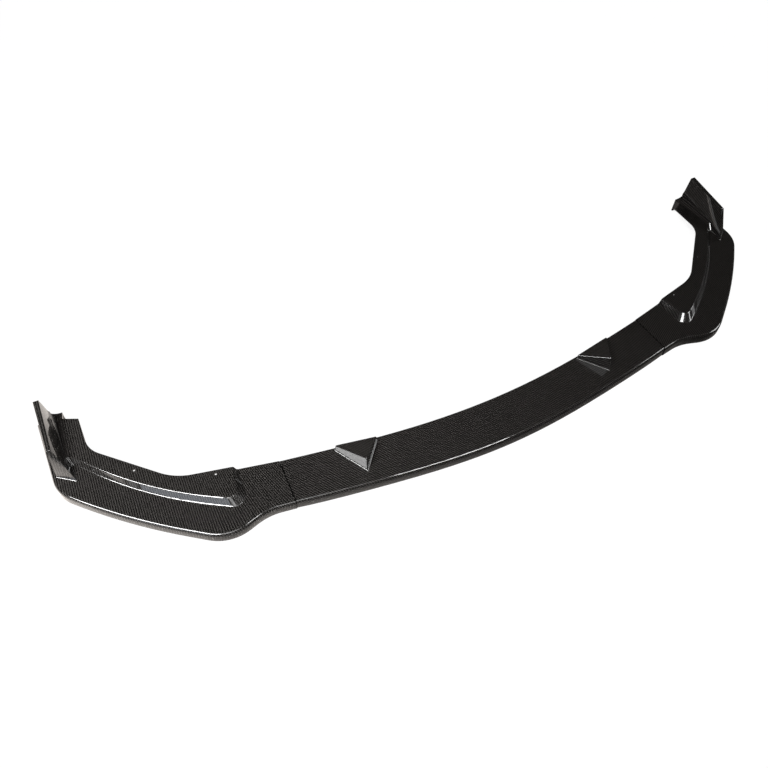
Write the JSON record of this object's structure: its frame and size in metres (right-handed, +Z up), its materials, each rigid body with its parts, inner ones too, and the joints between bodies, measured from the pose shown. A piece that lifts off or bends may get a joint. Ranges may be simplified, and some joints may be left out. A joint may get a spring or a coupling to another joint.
{
  "type": "front splitter lip",
  "caption": "Low front bumper lip in three joined sections: a bowed centre plate with wedge fins, and swept end plates with a raised step and an upright end winglet.",
  "frame": {"origin": "floor, at the middle of the lip's length and of its depth", "axes": "+X along the lip towards the right end as seen from in front of the car, -Y towards the front of the car, +Z up"},
  "size_m": [1.8, 0.474, 0.0996],
  "materials": {
    "gloss_shell": "clear gloss over a black twill-weave print",
    "screw_steel": "zinc plated"
  },
  "bodies": {
    "root": {"center_section": "gloss_shell", "left_end_section": "gloss_shell", "right_end_section": "gloss_shell", "joint_screws": "screw_steel"}
  },
  "joints": []
}
